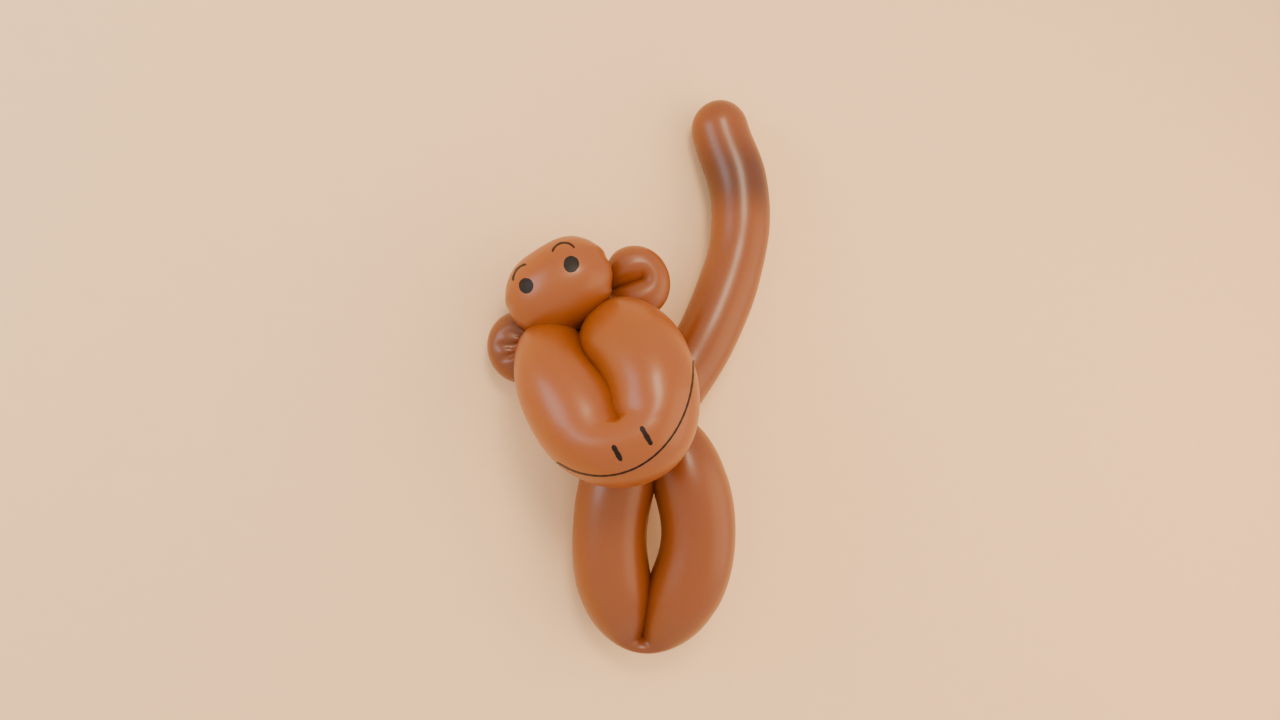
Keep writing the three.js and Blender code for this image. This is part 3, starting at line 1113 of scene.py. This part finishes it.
@dataclass(frozen=True)
class LatexFinish:
    """Glossy brown balloon latex: darker where it is little stretched, lighter where it is blown thin, and
    darker in a band below the tail's tip.
    """

    thick: tuple = srgb(70, 23, 3)
    thin: tuple = srgb(142, 75, 14)
    warm: tuple = srgb(143, 67, 6)
    # the colour of the darker band below the tail's tip
    band: tuple = srgb(60, 21, 3)
    roughness: float = 0.37

    def build(self) -> bpy.types.Material:
        """Builds the material."""
        n = Nodes("brown_latex")
        at = n.add("TexCoord").outputs["Object"]
        stretch = n.add("Attribute", attribute_name="stretch").outputs["Fac"]
        dark_tail_band = n.add("Attribute", attribute_name="dark_tail_band").outputs["Fac"]
        cloud = n.add("TexNoise", {"Vector": at, "Scale": 22.0, "Detail": 3.0, "Roughness": 0.5})
        fine = n.add("TexNoise", {"Vector": at, "Scale": 900.0, "Detail": 4.0, "Roughness": 0.6})
        belly = n.mix(cloud.outputs["Fac"], self.thin, self.warm)
        full = n.maths("POWER", stretch, 0.8)
        colour = n.mix(full, self.thick, belly)
        # Mixes the band colour into the tail below its tip.
        colour = n.mix(n.maths("MULTIPLY", dark_tail_band, 0.7), colour, self.band)
        speck = n.maths("MULTIPLY_ADD", fine.outputs["Fac"], 0.04, 0.98)
        tint = n.add("HueSaturation", {"Value": speck, "Color": colour})
        rough = n.maths("MULTIPLY_ADD", cloud.outputs["Fac"], 0.08, self.roughness - 0.04)
        slackness = n.maths("SUBTRACT", 1.0, stretch)
        wrinkle = n.add("TexNoise", {"Vector": at, "Scale": 420.0, "Detail": 3.0, "Roughness": 0.55})
        height = n.maths("MULTIPLY", wrinkle.outputs["Fac"], n.maths("MULTIPLY_ADD", slackness, 0.9, 0.02))
        bump = n.add("Bump", {"Height": height, "Distance": 0.0004, "Strength": 0.5})
        shader = n.add(
            "BsdfPrincipled",
            {
                "Base Color": tint.outputs["Color"],
                "Roughness": rough,
                "Normal": bump.outputs["Normal"],
                "IOR": 1.5,
                "Subsurface Weight": 0.15,
                "Subsurface Radius": (1.0, 0.28, 0.1),
                "Subsurface Scale": 0.003,
                "Specular IOR Level": 0.5,
                "Coat Weight": 0.12,
                "Coat Roughness": 0.2,
            },
        )
        n.add("OutputMaterial", {"Surface": shader.outputs["BSDF"]})
        return n.material


@dataclass(frozen=True)
class InkFinish:
    """Marker ink on latex: charcoal, streaked brown where the pen skipped."""

    name: str = "marker_ink"
    dark: tuple = srgb(16, 10, 10)
    light: tuple = srgb(50, 28, 16)
    streaks: float = 0.5

    def build(self) -> bpy.types.Material:
        """Builds the material."""
        n = Nodes(self.name)
        at = n.add("TexCoord").outputs["Object"]
        drawn_out = n.add("Mapping", {"Vector": at, "Scale": (260.0, 900.0, 400.0)})
        noise = n.add("TexNoise", {"Vector": drawn_out.outputs["Vector"], "Scale": 1.0, "Detail": 3.0})
        share = n.maths("MULTIPLY_ADD", noise.outputs["Fac"], 3.0, -1.25)
        share = n.add("Clamp", {"Value": share}).outputs[0]
        colour = n.mix(n.maths("MULTIPLY", share, self.streaks), self.dark, self.light)
        rough = n.maths("MULTIPLY_ADD", noise.outputs["Fac"], 0.25, 0.3)
        shader = n.add(
            "BsdfPrincipled", {"Base Color": colour, "Roughness": rough, "Specular IOR Level": 0.2}
        )
        n.add("OutputMaterial", {"Surface": shader.outputs["BSDF"]})
        return n.material


@dataclass(frozen=True)
class TableFinish:
    """A plain pale surface."""

    colour: tuple = srgb(253, 212, 164)

    def build(self) -> bpy.types.Material:
        """Builds the material."""
        n = Nodes("pale_table")
        at = n.add("TexCoord").outputs["Object"]
        noise = n.add("TexNoise", {"Vector": at, "Scale": 60.0, "Detail": 5.0})
        value = n.maths("MULTIPLY_ADD", noise.outputs["Fac"], 0.05, 0.975)
        tint = n.add("HueSaturation", {"Value": value, "Color": self.colour})
        shader = n.add("BsdfPrincipled", {"Base Color": tint.outputs["Color"], "Roughness": 0.8})
        n.add("OutputMaterial", {"Surface": shader.outputs["BSDF"]})
        return n.material


# ---- The set --------------------------------------------------------------------------------


class LightRole(Enum):
    """What a light does."""

    COOL_WINDOW = "cool_window"
    WARM_LAMP = "warm_lamp"
    WARM_BOUNCE = "warm_bounce"


@dataclass(frozen=True)
class SoftLight:
    """A square soft light, placed in the figure's frame and aimed at a point of it."""

    role: LightRole
    at_mm: tuple[float, float, float]
    aim_mm: tuple[float, float, float]
    size_m: float
    power_w: float
    colour: tuple[float, float, float]

    def build(self) -> None:
        """Adds the light."""
        deselect_all()
        place, target = LIE.place_one(self.at_mm), LIE.place_one(self.aim_mm)
        bpy.ops.object.light_add(type="AREA", location=place)
        lamp = bpy.context.object
        lamp.name = self.role.value
        lamp.rotation_euler = (target - place).to_track_quat("-Z", "Y").to_euler()
        lamp.data.size = self.size_m
        lamp.data.energy = self.power_w
        lamp.data.color = self.colour


LIGHTS = (
    SoftLight(LightRole.COOL_WINDOW, (-940, 290, 790), (-40, 30, 40), 0.6, 5.5, (0.82, 0.91, 1.0)),
    SoftLight(LightRole.WARM_LAMP, (230, 640, 1100), (-10, 20, 40), 0.34, 9.5, (1.0, 0.80, 0.56)),
    SoftLight(LightRole.WARM_BOUNCE, (900, -100, 300), (20, 0, 0), 0.9, 6.0, (1.0, 0.62, 0.32)),
)


TABLE_SIZE_M = 8.0
ROOM_COLOUR = (1.0, 0.86, 0.70, 1.0)
ROOM_STRENGTH = 1.3
SENSOR_MM = 36.0
LENS_MM = 23.43


def build_table() -> None:
    """Adds the pale table that the figure lies on."""
    deselect_all()
    bpy.ops.mesh.primitive_plane_add(size=TABLE_SIZE_M, location=(0.0, 0.0, 0.0))
    table = bpy.context.object
    table.name = table.data.name = "table"
    table.data.materials.append(TableFinish().build())


def build_world() -> None:
    """Adds plain soft light from all round."""
    world = bpy.data.worlds.new("room")
    bpy.context.scene.world = world
    world.use_nodes = True
    background = world.node_tree.nodes["Background"]
    background.inputs["Color"].default_value = ROOM_COLOUR
    background.inputs["Strength"].default_value = ROOM_STRENGTH


def build_camera() -> None:
    """Adds the camera in front of the face, looking square at the figure."""
    deselect_all()
    bpy.ops.object.camera_add(location=LIE.place_one(FACE_VIEWPOINT))
    camera = bpy.context.object
    camera.rotation_euler = LIE.turn.to_euler()
    camera.data.sensor_width = SENSOR_MM
    camera.data.lens = LENS_MM
    bpy.context.scene.camera = camera


def main() -> None:
    """Builds the figure, then the table, the lights and the camera."""
    logging.basicConfig(level=logging.INFO, format="%(name)s: %(message)s")
    skin = Skin().build()
    skin.data.materials.clear()
    skin.data.materials.append(LatexFinish().build())
    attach(skin, BODY)
    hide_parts(NODE)
    ink = InkFinish().build()
    for patch in draw_face(Marker(skin)):
        patch.data.materials.append(ink)
        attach(patch, BODY)
    LOG.info("skin: %d triangles", len(skin.data.polygons))
    build_table()
    build_world()
    for light in LIGHTS:
        light.build()
    build_camera()


if __name__ == "__main__":
    main()
